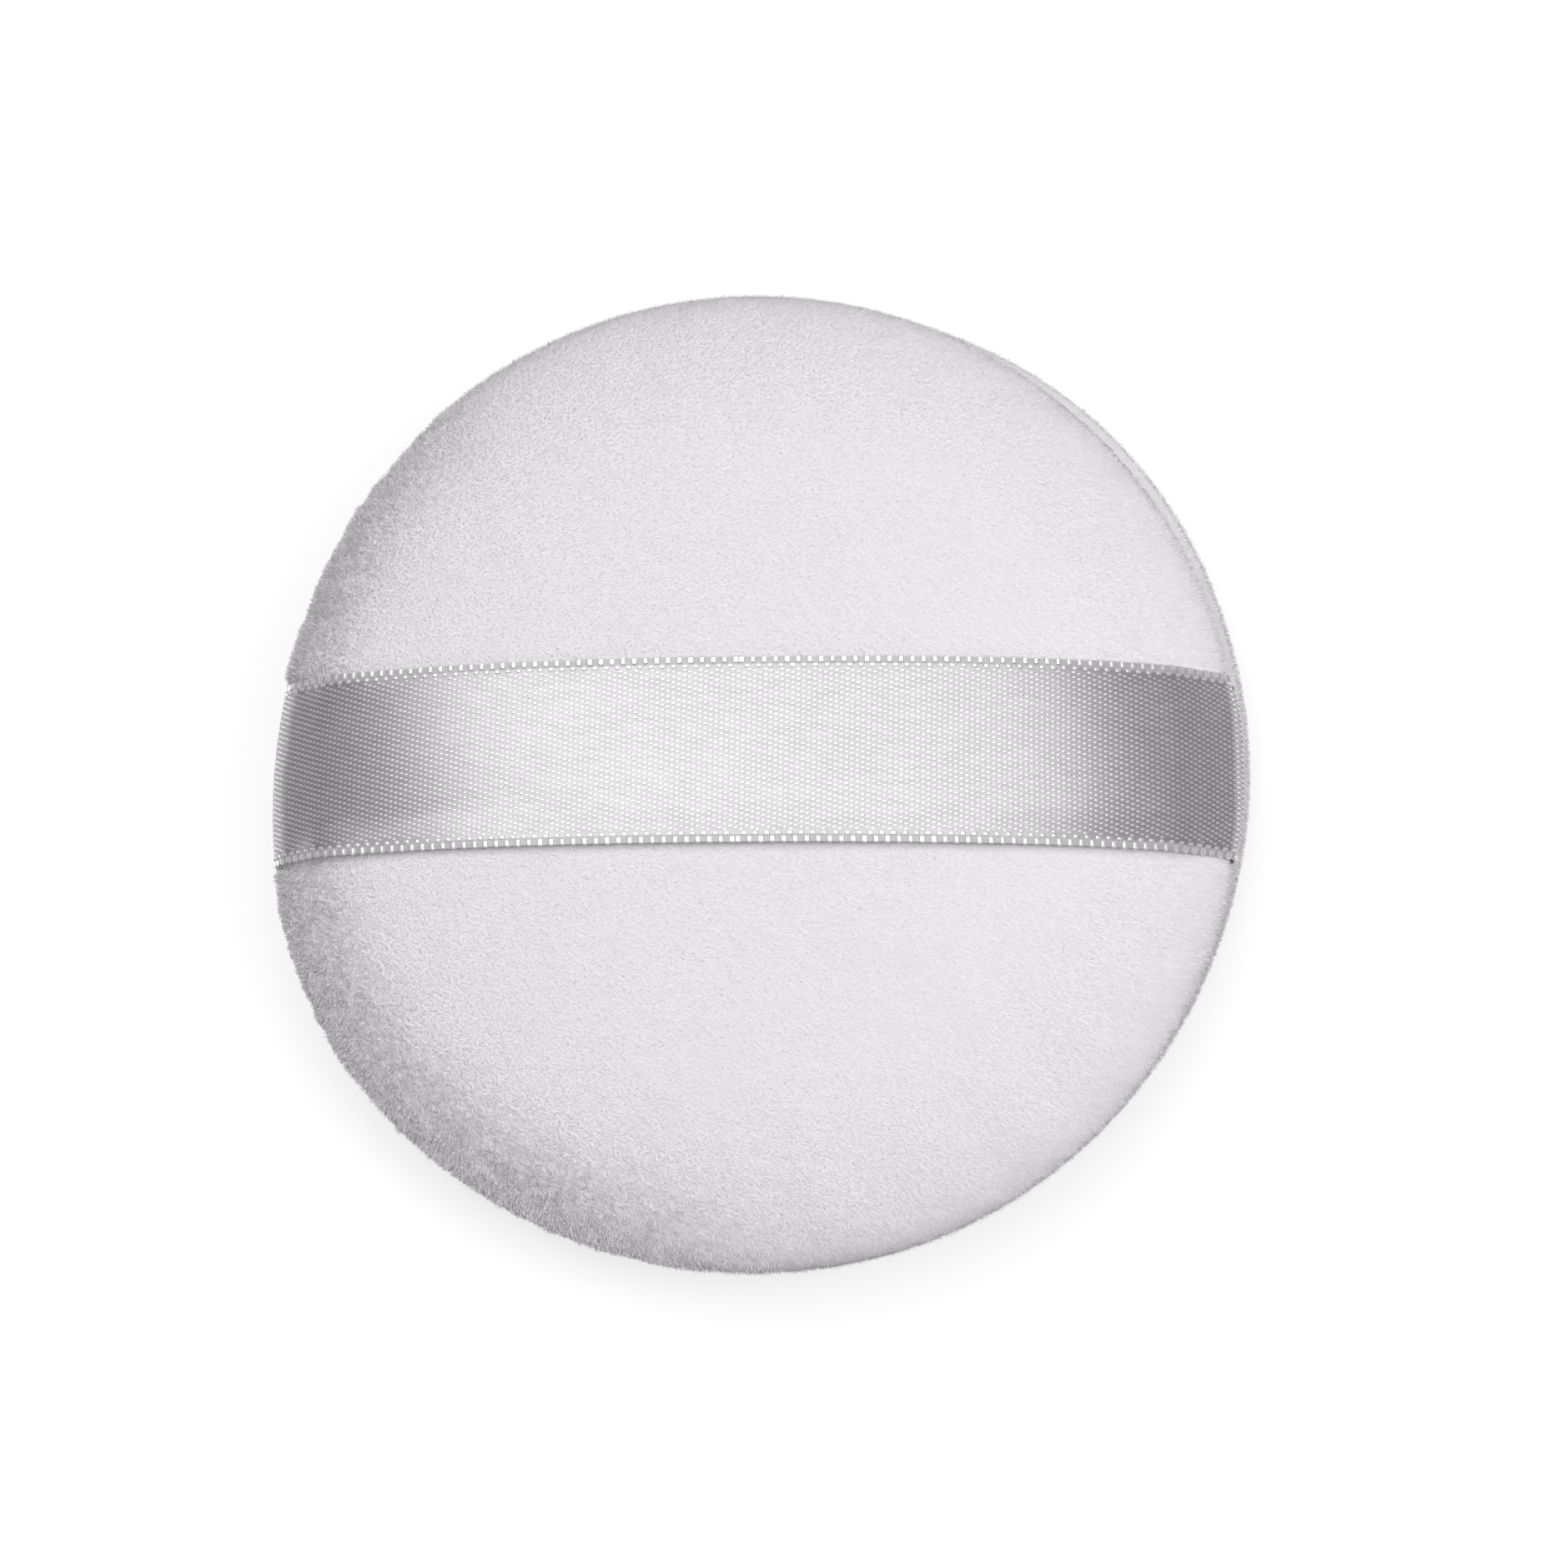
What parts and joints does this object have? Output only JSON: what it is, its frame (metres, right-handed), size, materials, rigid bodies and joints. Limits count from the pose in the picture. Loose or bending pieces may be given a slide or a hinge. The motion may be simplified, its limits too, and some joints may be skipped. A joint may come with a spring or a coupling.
{
  "type": "powder puff",
  "caption": "Round velour powder puff sewn over a foam core, with a satin ribbon strap across its back that the fingers slip under.",
  "frame": {"origin": "the middle of the puff's face, on the flat it lies on", "axes": "+Z from the face up through the back, +X along the ribbon strap, +Y across it"},
  "size_m": [0.08, 0.08, 0.0181],
  "materials": {
    "velour": "matte",
    "foam": "matte",
    "satin_ribbon": "satin",
    "sewing_thread": "satin"
  },
  "bodies": {
    "puff": {"back_cover": "velour", "face_cover": "velour", "foam_core": "foam", "needle_thread": "sewing_thread", "bobbin_thread": "sewing_thread", "closing_thread": "sewing_thread"},
    "strap": {"ribbon_strap": "satin_ribbon"}
  },
  "joints": [
    {"name": "strap_lift", "type": "slide", "parent": "puff", "child": "strap", "axis": [0, 0, 1], "range_m": [0, 0.006], "stiffness_N_per_m": 40, "deforming": ["ribbon_strap"]}
  ]
}
